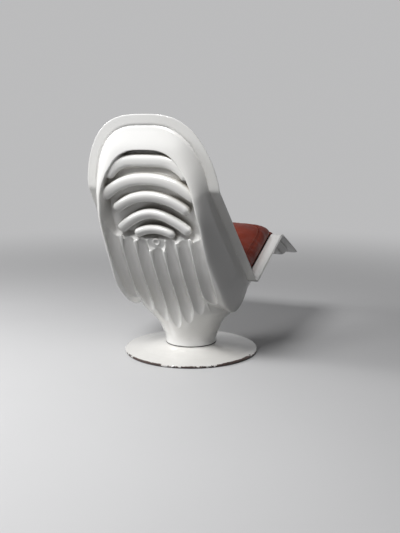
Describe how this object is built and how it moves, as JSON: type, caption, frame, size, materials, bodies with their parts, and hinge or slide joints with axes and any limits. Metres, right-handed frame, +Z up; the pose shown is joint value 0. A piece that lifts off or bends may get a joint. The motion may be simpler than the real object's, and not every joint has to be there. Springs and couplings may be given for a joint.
{
  "type": "swivel chaise longue",
  "caption": "Reclined lounge chair with leg rest: a moulded white shell with a fluted back on a funnel pedestal that swivels on a low round disc, with leather pads.",
  "frame": {"origin": "centre of the base disc on the floor, under the swivel axis", "axes": "+Z up, the sitter faces -Y with the leg rest at -Y and the head at +Y, +X is the sitter's left"},
  "size_m": [0.6466, 1.1287, 1.0176],
  "materials": {
    "white_gelcoat": "high gloss moulded gelcoat",
    "painted_iron": "worn gloss white paint, chipped at the edge",
    "cognac_leather": "soft aniline leather with a low sheen",
    "black_rubber": "matt",
    "steel": "zinc plated",
    "cage_brass": "pressed sheet",
    "hub_iron": "black enamel",
    "bush_plastic": "machined",
    "plywood": "sanded birch plywood",
    "grip_fabric": "hook tape"
  },
  "bodies": {
    "base": {"base_disc": "painted_iron", "floor_ring": "black_rubber", "pivot_post": "steel", "post_screws": "steel", "lower_race": "steel", "bearing_balls": "steel", "ball_cage": "cage_brass", "retaining_washer": "steel", "retaining_nut": "steel"},
    "chair": {"upper_race": "steel", "swivel_hub": "hub_iron", "lower_bush": "bush_plastic", "upper_bush": "bush_plastic", "mounting_board": "plywood", "hub_bolts": "steel", "hub_washers": "steel", "hub_nuts": "steel", "neck_seal": "black_rubber", "outer_shell": "white_gelcoat", "inner_liner": "white_gelcoat", "grip_tapes": "grip_fabric", "head_pad": "cognac_leather", "back_pad": "cognac_leather", "seat_pad": "cognac_leather", "leg_pad": "cognac_leather"}
  },
  "joints": [
    {"name": "swivel", "type": "hinge", "parent": "base", "child": "chair", "pos_m": [0, 0, 0.1], "axis": [0, 0, 1], "continuous": true}
  ]
}
